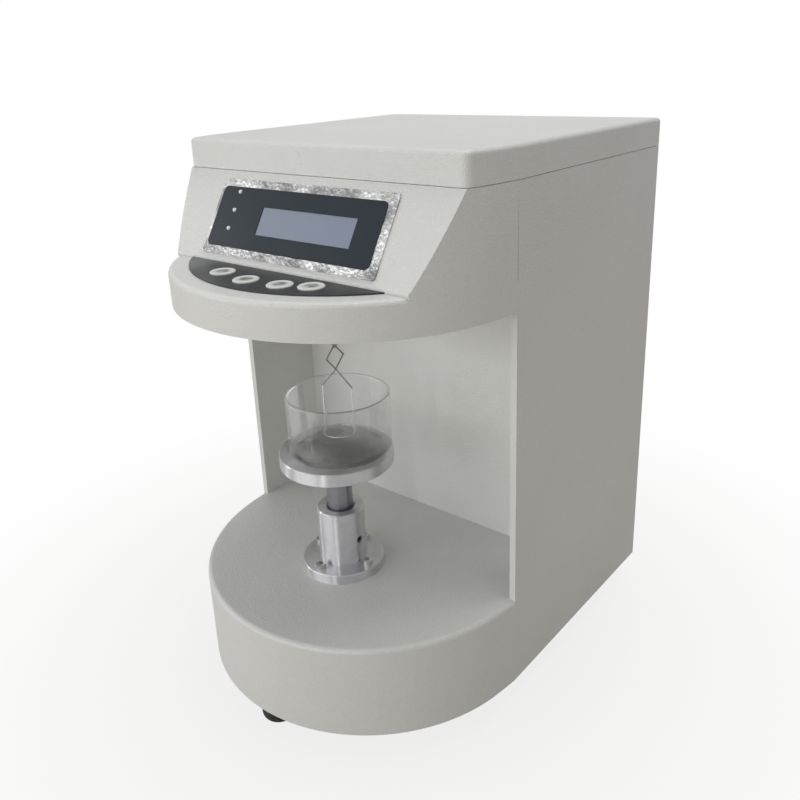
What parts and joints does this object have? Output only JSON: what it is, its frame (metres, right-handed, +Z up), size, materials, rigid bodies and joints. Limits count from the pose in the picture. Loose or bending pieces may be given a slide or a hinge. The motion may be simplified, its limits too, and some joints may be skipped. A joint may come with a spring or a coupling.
{
  "type": "surface tensiometer",
  "caption": "Bench surface tensiometer: D-plan body, motor-lifted sample stage with glass dish, hanging measuring ring, slanted display and crescent keypad.",
  "frame": {"origin": "middle of the bounding box's footprint, on the bench the feet stand on", "axes": "+X to the instrument's right seen from the front, +Y to its back, +Z up; the curved front faces -Y"},
  "size_m": [0.22, 0.278, 0.3365],
  "materials": {
    "shell_paint": "fine textured powder coat",
    "plate_steel": "zinc plated",
    "bezel_foil": "crinkled foil",
    "window_dark": "smooth",
    "lcd_face": "satin",
    "led_lens": "smooth",
    "board_green": "solder resist",
    "pad_black": "matte film",
    "key_grey": "satin",
    "part_black": "moulded",
    "turned_alloy": "fine turned, polished",
    "ground_steel": "ground and polished",
    "black_steel": "black oxide",
    "brass": "turned",
    "dish_glass": "clear",
    "coil_copper": "enamelled wire",
    "hanger_wire": "drawn wire",
    "ring_platinum": "bright drawn wire",
    "zinc_steel": "zinc plated",
    "foot_rubber": "moulded"
  },
  "bodies": {
    "housing": {"body_shell": "shell_paint", "lid": "shell_paint", "bottom_plate": "plate_steel", "rear_panel": "shell_paint", "recess_back_panel": "shell_paint", "display_bezel": "bezel_foil", "display_window": "window_dark", "lcd_screen": "lcd_face", "status_leds": "led_lens", "lcd_module": "board_green", "keypad_membrane": "pad_black", "keypad_board": "board_green", "key_switches": "part_black", "guide_bush": "turned_alloy", "flange_screws": "black_steel", "sleeve_screws": "black_steel", "lift_motor": "black_steel", "motor_screws": "zinc_steel", "balance_base": "turned_alloy", "pivot_pin": "ground_steel", "magnet_pot": "black_steel", "main_board": "board_green", "board_standoffs": "brass", "board_parts": "part_black", "power_supply": "plate_steel", "mains_inlet": "part_black", "switch_frame": "part_black", "serial_port": "zinc_steel", "stud_front": "zinc_steel", "stud_rear_left": "zinc_steel", "stud_rear_right": "zinc_steel", "foot_nuts": "zinc_steel", "bottom_plate_screws": "zinc_steel", "rear_panel_screws": "zinc_steel", "lid_screws": "zinc_steel"},
    "stage": {"lift_shaft": "ground_steel", "lift_nut": "brass", "tray": "turned_alloy", "tray_stud": "ground_steel"},
    "dish": {"sample_dish": "dish_glass"},
    "screw": {"lead_screw": "ground_steel"},
    "beam": {"balance_beam": "turned_alloy", "hanger_pin": "ground_steel", "beam_coil": "coil_copper"},
    "hook": {"hook_rod": "hanger_wire"},
    "ring": {"ring_stirrup": "hanger_wire", "measuring_ring": "ring_platinum"},
    "rocker": {"rocker_switch": "part_black"},
    "front_foot": {"foot_front": "foot_rubber"},
    "left_foot": {"foot_rear_left": "foot_rubber"},
    "right_foot": {"foot_rear_right": "foot_rubber"},
    "key_1_cap": {"key_1": "key_grey"},
    "key_2_cap": {"key_2": "key_grey"},
    "key_3_cap": {"key_3": "key_grey"},
    "key_4_cap": {"key_4": "key_grey"}
  },
  "joints": [
    {"name": "stage_lift", "type": "slide", "parent": "housing", "child": "stage", "axis": [0, 0, 1], "range_m": [-0.028, 0.002]},
    {"name": "screw_turn", "type": "hinge", "parent": "housing", "child": "screw", "pos_m": [0, -0.0595, 0.03], "axis": [0, 0, 1], "range_deg": [-1262, 92]},
    {"name": "dish_lift", "type": "slide", "parent": "stage", "child": "dish", "axis": [0, 0, 1], "range_m": [0, 0.004]},
    {"name": "beam_tilt", "type": "hinge", "parent": "housing", "child": "beam", "pos_m": [-0.005, -0.0175, 0.285], "axis": [1, 0, 0], "range_deg": [-0.6, 0.6], "stiffness_Nm_per_rad": 8},
    {"name": "hook_travel", "type": "slide", "parent": "housing", "child": "hook", "axis": [0, 0, 1], "range_m": [-0.0005, 0.0005]},
    {"name": "ring_swing", "type": "hinge", "parent": "hook", "child": "ring", "pos_m": [0.002, -0.0575, 0.21934], "axis": [0.9945, -0.1045, 0], "range_deg": [-5, 5]},
    {"name": "power_rocker", "type": "hinge", "parent": "housing", "child": "rocker", "pos_m": [-0.014, 0.133, 0.068], "axis": [0, 0, 1], "range_deg": [-20, 0]},
    {"name": "key_1_press", "type": "slide", "parent": "housing", "child": "key_1_cap", "axis": [0, 0, -1], "range_m": [0, 0.0005], "stiffness_N_per_m": 400, "springref_m": -0.0003},
    {"name": "key_2_press", "type": "slide", "parent": "housing", "child": "key_2_cap", "axis": [0, 0, -1], "range_m": [0, 0.0005], "stiffness_N_per_m": 400, "springref_m": -0.0003},
    {"name": "key_3_press", "type": "slide", "parent": "housing", "child": "key_3_cap", "axis": [0, 0, -1], "range_m": [0, 0.0005], "stiffness_N_per_m": 400, "springref_m": -0.0003},
    {"name": "key_4_press", "type": "slide", "parent": "housing", "child": "key_4_cap", "axis": [0, 0, -1], "range_m": [0, 0.0005], "stiffness_N_per_m": 400, "springref_m": -0.0003},
    {"name": "front_foot_turn", "type": "hinge", "parent": "housing", "child": "front_foot", "pos_m": [0, -0.123, 0.008], "axis": [0, 0, 1], "continuous": true},
    {"name": "left_foot_turn", "type": "hinge", "parent": "housing", "child": "left_foot", "pos_m": [-0.08, 0.111, 0.008], "axis": [0, 0, 1], "continuous": true},
    {"name": "right_foot_turn", "type": "hinge", "parent": "housing", "child": "right_foot", "pos_m": [0.08, 0.111, 0.008], "axis": [0, 0, 1], "continuous": true}
  ],
  "couplings": [
    {"joint": "screw_turn", "follows": "stage_lift", "rad_per_m": 785.4},
    {"joint": "hook_travel", "follows": "beam_tilt", "m_per_rad": -0.04}
  ]
}
